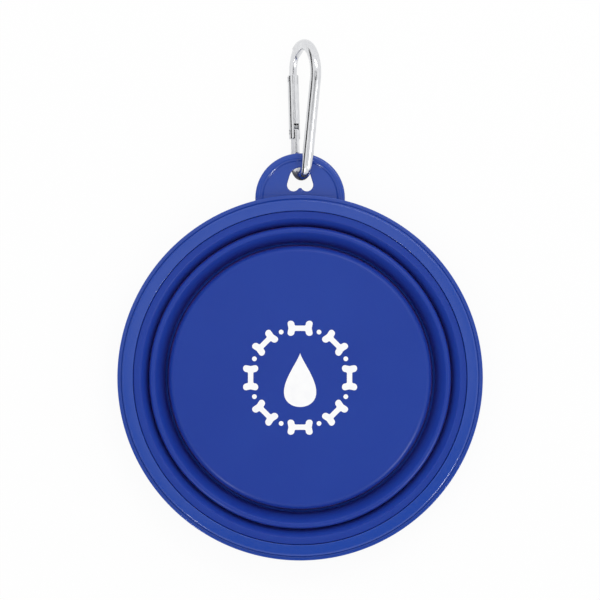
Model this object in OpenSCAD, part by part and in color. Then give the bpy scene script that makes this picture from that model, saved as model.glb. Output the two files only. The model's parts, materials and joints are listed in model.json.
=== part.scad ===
// Collapsible silicone bowl with a rigid rim, a hang tab and a snap clip.
// Drawn folded flat, standing on its foot ring at z = 0, with the bowl's axis on Z and the tab towards +Y.

/* [Bowl] */
// Outer diameter of the rim's ledge
bowl_d = 130; // [115:1:150]
// Height of the folded bowl, table to the top of the rim
folded_h = 12.7; // [12.2:0.1:15]
// Height of the low edges of the folded tiers above the table
tier_lift = 0.5; // [0.3:0.1:1]
// Thickness of the folding webs
fold_t = 0.7; // [0.5:0.1:0.9]
// How far a folded web leans outwards on its way down
fold_lean = 0.8; // [0.6:0.1:1.2]
// Gap between a web and the tier that it hangs from in the same body
fold_seam = 0.05; // [0.03:0.01:0.1]
// Gap between a web and the tier that moves away from it
fold_gap = 0.1; // [0.08:0.01:0.15]

/* [Floor and foot] */
// Drop from the top of the rim to the floor
floor_drop = 2.7; // [2:0.1:3.5]
// Thickness of the floor
floor_t = 2.4; // [1.8:0.1:3]
// Bevel round the floor's edge
floor_bevel = 0.6; // [0.3:0.1:0.8]
// How far the foot ring is set in from the floor's edge
foot_inset = 1.6; // [1:0.1:4]
// Width of the foot ring
foot_w = 3; // [2:0.1:5]
// Bevel on the foot ring's standing edges
foot_bevel = 0.6; // [0.2:0.1:0.8]

/* [Middle ring] */
// Radial run of the ring, low inner edge to outer side
ring_run = 5.4; // [4.8:0.1:7]
// Radial thickness of the ring's wall
ring_t = 2.2; // [1.6:0.1:2.6]
// Drop from the top of the rim to the ring's crest
crest_drop = 1.7; // [1.2:0.1:2.5]
// Width of the crest, from its inner edge to the ring's outer side
crest_w = 1; // [0.8:0.1:1.4]
// Bevel on the crest
crest_bevel = 0.6; // [0.3:0.1:0.8]
// Height of the steep lower part of the ring's inner face
ring_steep_h = 4.5; // [3.5:0.1:5.5]
// Radial run of that steep part
ring_steep_run = 0.6; // [0.4:0.1:0.8]

/* [Upper wall] */
// Radial run of the wall, low inner edge to the rim
wall_run = 4.8; // [4.2:0.1:6]
// Radial thickness of the wall at its low edge
wall_t = 2.1; // [1.6:0.1:2.6]
// Height of the steep lower part of the wall's inner face
wall_steep_h = 6; // [4:0.1:7]
// Radial run of that steep part
wall_steep_run = 0.6; // [0.4:0.1:1]
// Width of the wall's flat top, next to the rim
wall_flat_w = 2; // [1.6:0.1:2.4]
// Drop from the top of the rim to the wall's top edge
wall_drop = 0.6; // [0.4:0.1:1]
// Depth of the tongue that keys the wall into the rim
tongue_depth = 1.1; // [0.6:0.1:1.4]
// Height of that tongue
tongue_h = 2; // [1.2:0.1:2.4]

/* [Rim] */
// Width of the raised band
band_w = 4; // [3.2:0.1:5.5]
// Width of the ledge outside the band
ledge_w = 1.7; // [1.2:0.1:3]
// Height of the band above the ledge
band_h = 1.5; // [0.8:0.1:2]
// Depth of the rim, band top to its underside
rim_h = 7.9; // [7.6:0.1:8.4]
// Wall of the rim round the channel on its underside
rim_wall = 1.9; // [1.6:0.1:2.1]
// Bevel on the rim's top edges
rim_bevel = 0.4; // [0.2:0.1:0.6]

/* [Hang tab] */
// Radius of the tab
tab_r = 16; // [14:0.5:20]
// How far the tab's centre lies inside the rim's outer edge
tab_set_in = 1; // [0.5:0.1:3]
// Thickness of the tab's field
tab_t = 1.8; // [1.4:0.1:2]
// Thickness of the raised lip
lip_t = 2.5; // [2.2:0.1:2.7]
// Width of the lip
lip_w = 2.6; // [2:0.1:3]
// Bevel on the lip
lip_bevel = 0.6; // [0.4:0.1:0.7]
// Strip of tab between its outer edge and the hole
strip_w = 5.1; // [4.6:0.1:5.2]
// Radius of the hole's rounded top
hole_top_r = 3.9; // [3.8:0.1:4.1]
// Radius of each of the hole's two lower lobes
lobe_r = 2.25; // [2:0.05:2.5]
// Distance from the tab's middle line to a lobe's centre
lobe_x = 2.4; // [2.3:0.1:3]
// Distance from the hole's top to the lobes' centres
lobe_drop = 6.2; // [5.8:0.1:6.6]
// Distance from the lobes' centres to the point between them
point_drop = 1.1; // [0.8:0.1:1.5]

/* [Clip] */
// Rod diameter
rod_d = 3.9; // [3.6:0.1:4]
// Overall length of the clip
clip_l = 50.4; // [46:0.2:60]
// Centreline radius of the narrow end, which goes round the tab's strip
narrow_r = 5.2; // [5.1:0.1:5.6]
// Centreline radius of the wide end
wide_r = 10; // [8.5:0.1:12]
// Turn of the clip about its length, from lying flat
clip_roll = 66; // [60:1:72]
// Turn of the clip about the vertical
clip_yaw = -2; // [-2:0.1:0]
// Sideways place of the clip in the tab's hole
clip_x = 0.4; // [0:0.1:0.4]

/* [Gate] */
// Distance from the narrow end's tangent point to the hinge pin
hinge_at = 10.4; // [9:0.1:14]
// Radius of the gate's rounded lower end
gate_end_r = 2.55; // [2.4:0.05:3]
// Gap between the gate's end and the frame
gate_gap = 0.2; // [0.15:0.05:0.3]
// Thickness of the flat ends of the frame
tang_t = 1.6; // [1.2:0.1:1.7]
// Length of the flat end that carries the gate, from the hinge pin to the round rod
tang_l = 6.4; // [4:0.1:7]
// In-plane width of the flat ends
tang_w = 3.4; // [3:0.1:3.5]
// Gap on each side of a flat end in its slot
tang_gap = 0.15; // [0.1:0.01:0.2]
// Distance from the hinge pin to the bottom of its slot
slot_reach = 3; // [2.8:0.1:4]
// Diameter of the hinge and latch pins
pin_d = 1.6; // [1.2:0.1:1.8]
// Radial gap of a pin in the gate, where it is pressed
pin_seat = 0.02; // [0.01:0.01:0.04]
// Radial gap of the hinge pin in the frame
pin_run = 0.05; // [0.03:0.01:0.09]
// Radial gap of the latch pin in its notch
latch_gap = 0.15; // [0.1:0.01:0.2]
// Distance from the end of the gate to the latch pin
latch_in = 1.7; // [1.4:0.1:2]
// Thickness of the hook below the latch pin
hook_t = 0.75; // [0.5:0.05:1]
// Gap below the hook in its slot
hook_gap = 0.4; // [0.3:0.1:0.8]
// Angle on the wide end where the flat nose starts
nose_from = 145; // [138:1:158]

/* [Gate spring] */
// Diameter of the spring's bore in the gate
spring_bore_d = 1.8; // [1.6:0.1:2]
// Outer diameter of the spring
spring_d = 1.5; // [1.3:0.05:1.5]
// Wire diameter
wire_d = 0.3; // [0.2:0.05:0.3]
// Number of turns
spring_turns = 8; // [5:1:10]
// Distance between turns
spring_pitch = 0.75; // [0.75:0.05:0.9]
// Diameter of the plunger that the spring pushes
plunger_d = 1.4; // [1:0.1:1.5]
// Gap at each end of the plunger
plunger_gap = 0.05; // [0.03:0.01:0.1]

/* [Hidden] */
$fn = 96;
silicone_blue = "#2c449c";
rim_blue = "#3a54a5";
metal = "#d5d7da";
steel = "#8d9096";
// Overlap that makes cuts and joins clean
eps = 0.01;
// Angle by which the flat nose is rooted in the round rod
nose_bite = 2;
// Angle between the points on the tiers' rounded shoulders
shoulder_step = 30;
// How far the sides of the tab's hole lie inside its circles' tangents
side_inset = 0.12;
// Step down from the bent rod to the stub that carries the gate
stub_step = 0.04;
// How far that stub is rooted in the bend
stub_root = 0.2;
// How far the flat end that carries the gate is rooted in the stub
tang_root = 1;

// Radii, worked out from the rim inwards
bowl_r = bowl_d / 2;
band_r = bowl_r - ledge_w;
seam_r = band_r - band_w;
wall_low_r = seam_r - wall_run;
ring_r = wall_low_r - fold_lean - fold_t;
ring_low_r = ring_r - ring_run;
floor_r = ring_low_r - fold_lean - fold_t;
foot_r = floor_r - foot_inset;

// Heights
ledge_z = folded_h - band_h;
rim_low_z = folded_h - rim_h;
wall_top_z = folded_h - wall_drop;
crest_z = folded_h - crest_drop;
floor_z = folded_h - floor_drop;
floor_low_z = floor_z - floor_t;
tongue_z = (rim_low_z + ledge_z - tongue_h) / 2;

// Clip: two arcs joined by tangent limbs, in a plane of its own
rod_r = rod_d / 2;
centre_gap = clip_l - rod_d - narrow_r - wide_r;
taper = asin((wide_r - narrow_r) / centre_gap);
limb_l = centre_gap * cos(taper);
// Pitch at which the gate limb lies level on the table
clip_pitch = atan(tan(taper) * sin(clip_roll));
limb_below = narrow_r * (cos(taper) * cos(clip_pitch) * sin(clip_roll) + sin(taper) * sin(clip_pitch));
pin_r = pin_d / 2;
latch_at = limb_l - latch_in;
nose_low = latch_at - pin_r - latch_gap - hook_t;
slot_w = tang_t + 2 * tang_gap;
spring_from = hinge_at + slot_reach + plunger_gap;
spring_l = spring_turns * spring_pitch + wire_d;

// Tab, at the height of the clip's narrow end
strip_z = rod_r + limb_below;
tab_y = bowl_r - tab_set_in;
tab_top_y = tab_y + tab_r;
tab_z = strip_z - lip_t / 2;
strip_y = tab_top_y - strip_w / 2;
hole_top_y = tab_top_y - strip_w;
hole_y = hole_top_y - hole_top_r;
lobe_y = hole_top_y - lobe_drop;

// Rim: a raised band and a ledge over a channel, grooved for the wall's tongue, with the tab on its outside
module rim_section() {
    difference() {
        polygon([
            [seam_r, rim_low_z],
            [seam_r, folded_h - rim_bevel],
            [seam_r + rim_bevel, folded_h],
            [band_r - rim_bevel, folded_h],
            [band_r, folded_h - rim_bevel],
            [band_r, ledge_z],
            [bowl_r - rim_bevel, ledge_z],
            [bowl_r, ledge_z - rim_bevel],
            [bowl_r, rim_low_z]
        ]);
        translate([seam_r + rim_wall, rim_low_z - eps])
            square([bowl_r - seam_r - 2 * rim_wall, ledge_z - rim_low_z - rim_wall]);
        translate([seam_r - eps, tongue_z])
            square([tongue_depth + eps, tongue_h]);
    }
}

// Half of the tab's cross-section: its field, and the lip that is raised round it
module tab_section() {
    polygon([
        [0, tab_z],
        [tab_r - lip_bevel, tab_z],
        [tab_r, tab_z + lip_bevel],
        [tab_r, tab_z + lip_t - lip_bevel],
        [tab_r - lip_bevel, tab_z + lip_t],
        [tab_r - lip_w + lip_bevel, tab_z + lip_t],
        [tab_r - lip_w, tab_z + tab_t],
        [0, tab_z + tab_t]
    ]);
}

// Hole outline: a round top and two lobes below it, with straight sides and a blunt point between the lobes.
// The sides lie just inside the circles' common tangents, so that they cross the circles cleanly.
module hole_outline() {
    down = [lobe_x, lobe_y - hole_y];
    side = atan2(down[1], down[0]) + acos((hole_top_r - lobe_r) / norm(down));
    edge = [cos(side), sin(side)];
    top_r = hole_top_r - side_inset;
    low_r = lobe_r - side_inset;
    point_x = lobe_x - sqrt(lobe_r * lobe_r - point_drop * point_drop);
    translate([0, hole_y])
        circle(r = hole_top_r);
    for (s = [-1, 1])
        translate([s * lobe_x, lobe_y])
            circle(r = lobe_r);
    polygon([
        [-top_r * edge[0], hole_y + top_r * edge[1]],
        [top_r * edge[0], hole_y + top_r * edge[1]],
        [lobe_x + low_r * edge[0], lobe_y + low_r * edge[1]],
        [lobe_x, lobe_y],
        [point_x, lobe_y - point_drop],
        [-point_x, lobe_y - point_drop],
        [-lobe_x, lobe_y],
        [-lobe_x - low_r * edge[0], lobe_y + low_r * edge[1]]
    ]);
}

module hang_tab() {
    difference() {
        union() {
            translate([0, tab_y, 0])
                rotate_extrude(angle = 180)
                    tab_section();
            translate([0, tab_y, 0])
                rotate([90, 0, 0])
                    linear_extrude(tab_set_in + lip_w) {
                        tab_section();
                        mirror([1, 0])
                            tab_section();
                    }
        }
        translate([0, 0, tab_z - eps])
            cylinder(r = bowl_r - rim_wall / 2, h = lip_t + 2 * eps);
        translate([0, 0, tab_z - eps])
            linear_extrude(lip_t + 2 * eps)
                hole_outline();
    }
}

module rim_ring() {
    color(rim_blue) {
        rotate_extrude()
            rim_section();
        hang_tab();
    }
}

// Points on a quarter of an ellipse, from the end of a tier's steep face up to its top
function shoulder(top_r, base_z, run, rise) = [
    for (a = [0 : shoulder_step : 90])
        [top_r - run * cos(a), base_z + rise * sin(a)]
];

// Upper wall: the tier that is moulded onto the rim, steep at first and then rounding over to a flat top
module upper_wall() {
    steep_r = wall_low_r + wall_steep_run;
    steep_z = tier_lift + wall_steep_h;
    top_r = seam_r - wall_flat_w;
    color(silicone_blue)
        rotate_extrude()
            polygon([
                [wall_low_r, tier_lift],
                each shoulder(top_r, steep_z, top_r - steep_r, wall_top_z - steep_z),
                [seam_r - rim_bevel, wall_top_z],
                [seam_r, wall_top_z - rim_bevel],
                [seam_r, tongue_z + tongue_h],
                [seam_r + tongue_depth, tongue_z + tongue_h],
                [seam_r + tongue_depth, tongue_z],
                [seam_r, tongue_z],
                [seam_r, rim_low_z],
                [wall_low_r + wall_t, tier_lift]
            ]);
}

// Folded web between an inner tier's side and the low edge of the tier outside it
module web_section(inner_r, top_z, low_r) {
    polygon([
        [inner_r + fold_seam, top_z],
        [inner_r + fold_t, top_z],
        [low_r - fold_gap, tier_lift + fold_t],
        [low_r - fold_gap, tier_lift],
        [low_r - fold_gap - fold_t + fold_seam, tier_lift],
        [inner_r + fold_seam, top_z - fold_t]
    ]);
}

module upper_fold() {
    color(silicone_blue)
        rotate_extrude()
            web_section(ring_r, crest_z - crest_bevel, wall_low_r);
}

// Middle ring: a tier with a steep face that rounds over to its crest, of one thickness all the way
module middle_ring() {
    steep_z = tier_lift + ring_steep_h;
    top_r = ring_r - crest_w;
    run = top_r - ring_low_r - ring_steep_run;
    rise = crest_z - steep_z;
    under = shoulder(top_r, steep_z, run - ring_t, rise - ring_t);
    color(silicone_blue)
        rotate_extrude()
            polygon([
                [ring_low_r, tier_lift],
                each shoulder(top_r, steep_z, run, rise),
                [ring_r - crest_bevel / 2, crest_z],
                [ring_r, crest_z - crest_bevel],
                [ring_r, crest_z - ring_t],
                for (i = [len(under) - 1 : -1 : 0])
                    under[i],
                [ring_low_r + ring_t, tier_lift]
            ]);
}

module lower_fold() {
    color(silicone_blue)
        rotate_extrude()
            web_section(floor_r, floor_z - floor_bevel, ring_low_r);
}

// Floor disc on a foot ring
module base_floor() {
    color(silicone_blue)
        rotate_extrude()
            polygon([
                [0, floor_z],
                [floor_r - floor_bevel, floor_z],
                [floor_r, floor_z - floor_bevel],
                [floor_r, floor_low_z],
                [foot_r, floor_low_z],
                [foot_r, foot_bevel],
                [foot_r - foot_bevel, 0],
                [foot_r - foot_w + foot_bevel, 0],
                [foot_r - foot_w, foot_bevel],
                [foot_r - foot_w, floor_low_z],
                [0, floor_low_z]
            ]);
}

// Puts its children into the clip's plane: X across, Y along, origin at the narrow end's centre
module in_clip() {
    translate([clip_x, strip_y, strip_z])
        rotate([0, 0, clip_yaw])
            rotate([clip_pitch, 0, 0])
                rotate([0, -clip_roll, 0])
                    children();
}

// Puts its children on the gate limb: Y along the limb, X towards the inside of the clip
module on_gate_limb(along) {
    in_clip()
        rotate([0, 0, taper])
            translate([-narrow_r, along, 0])
                children();
}

module cross_pin(radius, length) {
    translate([0, 0, -length / 2])
        cylinder(r = radius, h = length);
}

module limb(radius, length) {
    rotate([-90, 0, 0])
        cylinder(r = radius, h = length);
}

// Frame: the bent rod, with a flat tang in the gate's lower slot and a flat hooked nose in its upper one
module clip_frame() {
    color(metal) {
        in_clip()
            rotate([0, 0, -taper]) {
                mirror([0, 1, 0])
                    rotate_extrude(angle = 180 - 2 * taper)
                        translate([narrow_r, 0])
                            circle(r = rod_r);
                translate([narrow_r, 0, 0])
                    limb(rod_r, limb_l);
                translate([narrow_r - wide_r, limb_l, 0]) {
                    rotate_extrude(angle = nose_from + taper)
                        translate([wide_r, 0])
                            circle(r = rod_r);
                    rotate([0, 0, nose_from + taper - nose_bite])
                        rotate_extrude(angle = 180 + taper - nose_from + nose_bite)
                            translate([wide_r - tang_w / 2, -tang_t / 2])
                                square([tang_w, tang_t]);
                }
            }
        on_gate_limb(-stub_root)
            limb(rod_r - stub_step, hinge_at - tang_l + stub_root);
        on_gate_limb(hinge_at)
            difference() {
                union() {
                    cross_pin(tang_w / 2, tang_t);
                    translate([-tang_w / 2, -tang_l - tang_root, -tang_t / 2])
                        cube([tang_w, tang_l + tang_root, tang_t]);
                }
                cross_pin(pin_r + pin_run, 2 * tang_t);
            }
        on_gate_limb(0)
            difference() {
                translate([-tang_w / 2, nose_low, -tang_t / 2])
                    cube([tang_w, limb_l - nose_low + eps, tang_t]);
                translate([0, latch_at, 0]) {
                    cross_pin(pin_r + latch_gap, 2 * tang_t);
                    translate([0, -pin_r - latch_gap, -tang_t])
                        cube([tang_w, 2 * (pin_r + latch_gap), 2 * tang_t]);
                }
            }
    }
}

// Gate: a rod with a slot at each end, cross bores for its pins and a bore for its spring
module clip_gate() {
    gate_top = limb_l - gate_gap;
    color(metal)
        on_gate_limb(0)
            difference() {
                intersection() {
                    limb(rod_r, gate_top);
                    union() {
                        translate([0, hinge_at, 0])
                            cross_pin(gate_end_r, 2 * rod_d);
                        translate([-rod_d, hinge_at, -rod_d])
                            cube([2 * rod_d, gate_top - hinge_at, 2 * rod_d]);
                    }
                }
                translate([-rod_d, 0, -slot_w / 2])
                    cube([2 * rod_d, hinge_at + slot_reach, slot_w]);
                translate([-rod_d, nose_low - hook_gap, -slot_w / 2])
                    cube([2 * rod_d, limb_l, slot_w]);
                translate([0, hinge_at, 0])
                    cross_pin(pin_r + pin_seat, 2 * rod_d);
                translate([0, latch_at, 0])
                    cross_pin(pin_r + pin_seat, 2 * rod_d);
                translate([0, hinge_at, 0])
                    rotate([-90, 0, 0])
                        cylinder(d = spring_bore_d, h = slot_reach + spring_l + 3 * plunger_gap);
            }
}

module gate_hinge_pin() {
    color(steel)
        on_gate_limb(hinge_at)
            cross_pin(pin_r, rod_d - 2 * pin_run);
}

module gate_latch_pin() {
    color(steel)
        on_gate_limb(latch_at)
            cross_pin(pin_r, rod_d - 2 * pin_run);
}

// Spring: one helical wire, with rings of points along it; the least gap between its turns is printed
module gate_spring() {
    steps = 8;
    sides = 6;
    rings = spring_turns * steps;
    coil_r = (spring_d - wire_d) / 2;
    centres = [
        for (i = [0 : rings])
            [coil_r * cos(i * 360 / steps), i * spring_pitch / steps, coil_r * sin(i * 360 / steps)]
    ];
    apart = [
        for (i = [0 : rings - steps], j = [i + steps - 1 : rings])
            norm(centres[j] - centres[i]) - wire_d
    ];
    echo(least_gap_between_turns = min(apart));
    points = [
        for (i = [0 : rings], j = [0 : sides - 1])
            let (turn = i * 360 / steps, round_wire = j * 360 / sides,
                r = coil_r + wire_d / 2 * cos(round_wire))
            [
                r * cos(turn),
                i * spring_pitch / steps + wire_d / 2 * sin(round_wire) + wire_d / 2,
                -r * sin(turn)
            ]
    ];
    sleeve = [
        for (i = [0 : rings - 1], j = [0 : sides - 1])
            let (a = i * sides + j, b = i * sides + (j + 1) % sides)
            each [[a, b, b + sides], [a, b + sides, a + sides]]
    ];
    ends = [
        for (j = [1 : sides - 2])
            each [[0, j + 1, j], [rings * sides, rings * sides + j, rings * sides + j + 1]]
    ];
    color(steel)
        on_gate_limb(spring_from)
            polyhedron(points, concat(sleeve, ends));
}

// Plunger: the short pin between the spring and the rounded end of the tang
module spring_plunger() {
    low = hinge_at + tang_w / 2 + plunger_gap;
    color(steel)
        on_gate_limb(low)
            rotate([-90, 0, 0])
                cylinder(d = plunger_d, h = spring_from - plunger_gap - low);
}

rim_ring();
upper_wall();
upper_fold();
middle_ring();
lower_fold();
base_floor();
clip_frame();
clip_gate();
gate_hinge_pin();
gate_latch_pin();
gate_spring();
spring_plunger();
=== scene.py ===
# %% [markdown]
# # A folding silicone bowl with a snap clip
# The bowl lies folded flat and is seen from straight above, with its clip through the hang tab. The
# imported CAD model is the frame: every piece made here sits in that frame, and most ride on one of its
# bodies and take the place of the plain solids that they stand for.

# %% Load the frame
import json
import math

import bmesh
import bpy
from mathutils import Matrix, Vector


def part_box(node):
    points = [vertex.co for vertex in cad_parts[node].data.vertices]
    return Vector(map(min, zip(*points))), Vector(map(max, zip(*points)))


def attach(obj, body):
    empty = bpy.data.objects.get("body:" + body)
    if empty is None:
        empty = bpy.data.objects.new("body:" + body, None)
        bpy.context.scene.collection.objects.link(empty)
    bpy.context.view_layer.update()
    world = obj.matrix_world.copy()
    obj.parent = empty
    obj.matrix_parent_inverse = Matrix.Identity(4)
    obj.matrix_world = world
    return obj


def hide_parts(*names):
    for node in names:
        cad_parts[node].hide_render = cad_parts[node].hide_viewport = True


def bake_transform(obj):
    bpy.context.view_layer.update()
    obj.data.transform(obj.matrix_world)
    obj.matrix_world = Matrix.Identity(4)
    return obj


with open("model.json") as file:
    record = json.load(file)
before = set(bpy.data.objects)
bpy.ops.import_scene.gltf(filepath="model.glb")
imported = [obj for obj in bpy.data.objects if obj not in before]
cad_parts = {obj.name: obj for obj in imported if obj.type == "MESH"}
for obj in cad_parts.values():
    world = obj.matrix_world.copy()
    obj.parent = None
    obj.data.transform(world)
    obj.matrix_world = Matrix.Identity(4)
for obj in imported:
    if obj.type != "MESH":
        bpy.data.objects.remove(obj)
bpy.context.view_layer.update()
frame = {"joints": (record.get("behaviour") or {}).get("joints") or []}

MM = 0.001

# %% [markdown]
# ## Sizes
# A bowl is a turned shape, so radii and heights describe it. Most are read off the boxes of the CAD
# nodes, so that the looks follow the CAD model. The few that no box shows are written in millimetres.

# %% Radii and heights of the bowl, in millimetres
LEDGE_W = 1.7
BAND_W = 4.0
BAND_H = 1.5
FOLD_T = 0.7
FOLD_GAP = 0.1
LEAN = 0.7


def box_mm(node):
    """The lowest and highest corner of a CAD node."""
    return [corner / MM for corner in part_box(node)]


rim_low, rim_high = box_mm("rim_ring")
wall_low, wall_high = box_mm("upper_wall")
ring_low, ring_high = box_mm("middle_ring")
floor_low, floor_high = box_mm("base_floor")
lower_low, lower_high = box_mm("lower_fold")
upper_low, upper_high = box_mm("upper_fold")

bowl_r = rim_high.x
band_r = bowl_r - LEDGE_W
seam_r = band_r - BAND_W
wall_r = upper_high.x + FOLD_GAP
ring_r = ring_high.x
ring_low_r = lower_high.x + FOLD_GAP
floor_r = floor_high.x
ledge_z = rim_high.z - BAND_H
print("radii, mm:", [round(r, 1) for r in (bowl_r, band_r, seam_r, wall_r, ring_r, ring_low_r, floor_r)])

# %% [markdown]
# ## Camera
# The photograph looks straight down the bowl's axis from far away. The rim is a true circle there, so its
# size and place in pixels give the scale and the aim. A long lens keeps the sides from showing.

# %% Make the camera
IMAGE_PX = 600
RIM_RADIUS_PX = 182.85
BOWL_CENTRE_PX = Vector((300.1, 377.8))
CAMERA_HEIGHT = 1.2

metres_per_px = bowl_r * MM / RIM_RADIUS_PX
camera = bpy.data.objects.new("camera", bpy.data.cameras.new("camera"))
bpy.context.collection.objects.link(camera)
bpy.context.scene.camera = camera
camera.location = (
    (IMAGE_PX / 2 - BOWL_CENTRE_PX.x) * metres_per_px,
    (BOWL_CENTRE_PX.y - IMAGE_PX / 2) * metres_per_px,
    CAMERA_HEIGHT,
)
rim_distance = CAMERA_HEIGHT - ledge_z * MM
camera.data.lens = camera.data.sensor_width * rim_distance / (IMAGE_PX * metres_per_px)
print("lens, mm:", round(camera.data.lens, 1))

# %% [markdown]
# ## Node helper and colours
# Every material below is a small tree of shader nodes. One function adds a node: what is a socket becomes
# a link, and what is a number or a colour is set on the node's own socket. A colour ramp gets its stops
# in the same call. Colours are written as sRGB hex values, as a colour picker shows them, and one
# function turns them into the linear values that a shader works with, by the formula of the sRGB
# standard.

# %% Functions for materials
def linear(hex_colour):
    """The linear RGBA of an sRGB hex colour."""
    parts = [int(hex_colour[i : i + 2], 16) / 255 for i in (1, 3, 5)]
    return [c / 12.92 if c <= 0.04045 else ((c + 0.055) / 1.055) ** 2.4 for c in parts] + [1]


def add_node(tree, kind, inputs=None, stops=(), **settings):
    """Adds a node with settings, inputs as links or values, and a ramp's (position, colour) stops."""
    made = tree.nodes.new(kind)
    for name, value in settings.items():
        setattr(made, name, value)
    for name, value in (inputs or {}).items():
        if isinstance(value, bpy.types.NodeSocket):
            tree.links.new(value, made.inputs[name])
        else:
            made.inputs[name].default_value = value
    for number, (position, hex_colour) in enumerate(stops):
        made.color_ramp.elements[number].position = position
        made.color_ramp.elements[number].color = linear(hex_colour)
    return made


def new_material(name):
    """An empty material, its tree and its Object coordinates."""
    material = bpy.data.materials.new(name)
    material.use_nodes = True
    tree = material.node_tree
    tree.nodes.clear()
    return material, tree, add_node(tree, "ShaderNodeTexCoord").outputs["Object"]


def per_mm(size):
    """The scale at which a pattern repeats about once in this many millimetres."""
    return 1 / (size * MM)


print("mid grey is", round(linear("#808080")[0], 3), "in linear light")

# %% [markdown]
# ## Light
# Product photographs like this one are shot in a white tent with one soft panel above it. The panel is
# turned a little, so its picture covers all of the bowl but the lower right, and that part stays without
# sheen. A strip lamp beyond the clip draws the thin bright line on the rim's upper edge. Two small lamps
# near the bottom corners draw short glints on the tab, and only mirrors see them. The tent is the world.
# A lamp's glow is its brightness as a mirror sees it, with the tent at one. The panel, the strip and the
# tent add up to about one on the bowl, so that a colour renders about as it is written.

# %% Lamps and world
BOWL_AIM = Vector((0, 0.02, 0))
PANEL_TURN_DEG = 20
GLINT_H = 0.05
FILL_LEVEL = 0.88


def soft_box(name, place, width, height, glow):
    """An area lamp that points at the bowl."""
    lamp = bpy.data.objects.new(name, bpy.data.lights.new(name, "AREA"))
    lamp.data.shape = "RECTANGLE"
    lamp.data.size = width
    lamp.data.size_y = height
    lamp.data.energy = glow * math.pi * width * height
    lamp.location = place
    lamp.rotation_euler = (BOWL_AIM - lamp.location).to_track_quat("-Z", "Y").to_euler()
    bpy.context.collection.objects.link(lamp)
    return lamp


panel = soft_box("overhead_panel", Vector((-0.007, 0.018, 0.6)), width=0.2, height=0.165, glow=0.92)
panel.rotation_euler = (0, 0, math.radians(PANEL_TURN_DEG))
soft_box("strip", Vector((0.2, 0.4, 0.55)), width=0.4, height=0.1, glow=6)
for name, place, width, glow in (
    ("right_glint", Vector((0.4, -0.3, 0.35)), 0.14, 45),
    ("left_glint", Vector((-0.3, -0.42, 0.35)), 0.05, 80),
):
    glint = soft_box(name, place, width, GLINT_H, glow)
    glint.visible_diffuse = False

world = bpy.data.worlds.new("studio")
world.use_nodes = True
bpy.context.scene.world = world
tree = world.node_tree
tree.nodes.clear()
rays = add_node(tree, "ShaderNodeLightPath").outputs
seen = rays["Is Camera Ray"]
for ray in ("Is Glossy Ray", "Is Transmission Ray"):
    seen = add_node(tree, "ShaderNodeMath", {0: seen, 1: rays[ray]}, operation="MAXIMUM").outputs[0]
level = add_node(tree, "ShaderNodeMapRange", {"Value": seen, "To Min": FILL_LEVEL, "To Max": 1.0})
white = add_node(tree, "ShaderNodeBackground", {"Color": linear("#ffffff"), "Strength": level.outputs[0]})
add_node(tree, "ShaderNodeOutputWorld", {"Surface": white.outputs[0]})
bpy.context.scene.view_settings.view_transform = "Standard"

# %% [markdown]
# ## Floor
# The photograph's ground is pure white. The floor is a white plane at the height where the bowl stands.
# To the camera most of it glows at exactly white, and the rest takes light and shade, so a faint shadow
# stays. Mirrors see the same white, but close to the bowl, where it stands in the way of the light, they
# see plain shaded paper.

# %% Make the floor
FLOOR_SIDE = 6.0
GLOW_SHARE = 0.93
SHADE_FROM = 0.06
SHADE_TO = 0.11

floor_white, tree, place = new_material("white_paper_sweep")
rays = add_node(tree, "ShaderNodeLightPath").outputs
from_axis = add_node(tree, "ShaderNodeVectorMath", {0: place}, operation="LENGTH").outputs["Value"]
clear = add_node(
    tree, "ShaderNodeMapRange", {"Value": from_axis, "From Min": SHADE_FROM, "From Max": SHADE_TO}
).outputs["Result"]
mirrored = add_node(tree, "ShaderNodeMath", {0: rays["Is Glossy Ray"], 1: clear}, operation="MULTIPLY")
seen = rays["Is Camera Ray"]
for ray in (mirrored.outputs[0], rays["Is Transmission Ray"]):
    seen = add_node(tree, "ShaderNodeMath", {0: seen, 1: ray}, operation="MAXIMUM").outputs[0]
share = add_node(tree, "ShaderNodeMath", {0: seen, 1: GLOW_SHARE}, operation="MULTIPLY")
paper = add_node(tree, "ShaderNodeBsdfDiffuse", {"Color": linear("#f4f4f4")})
glow = add_node(tree, "ShaderNodeEmission", {"Color": linear("#ffffff"), "Strength": 1.0})
mixed = add_node(
    tree, "ShaderNodeMixShader", {0: share.outputs[0], 1: paper.outputs[0], 2: glow.outputs[0]}
)
add_node(tree, "ShaderNodeOutputMaterial", {"Surface": mixed.outputs[0]})

bm = bmesh.new()
bmesh.ops.create_grid(bm, x_segments=1, y_segments=1, size=FLOOR_SIDE / 2)
floor_mesh = bpy.data.meshes.new("floor")
bm.to_mesh(floor_mesh)
bm.free()
floor_mesh.materials.append(floor_white)
floor = bpy.data.objects.new("floor", floor_mesh)
bpy.context.collection.objects.link(floor)
print("floor side, m:", FLOOR_SIDE)

# %% [markdown]
# ## Cards
# Bright metal on a white ground loses its outline, and a glossy blue in a white room turns pale.
# Photographers stand cards out of the picture for that. A black one at the left draws a dark line along
# every rod. A grey one above the panel is the dark ceiling that the rim mirrors. Two small ones are
# painted shade: a pale one under the tab's hole stands for the shaded floor there, and a dark one between
# the hole and the rim stands for the shade round the loop, so the clip's loop mirrors grey, not blue. All
# cards are seen by reflections only.

# %% Make the cards
FLAG_X = -0.35
FLAG_H = 0.2
FLAG_L = 0.9
CEILING_AT = Vector((0, -0.06, 0.65))
CEILING_W = 0.5
CEILING_L = 0.37
LOOP_CARD_AT = Vector((0, 0.07, 0.001))
LOOP_CARD_W = 0.03
LOOP_CARD_L = 0.018
HOLE_CARD_AT = Vector((0, 0.0652, 0.0055))
HOLE_CARD_W = 0.026
HOLE_CARD_H = 0.011
SPECK_MM = 2.0


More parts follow.
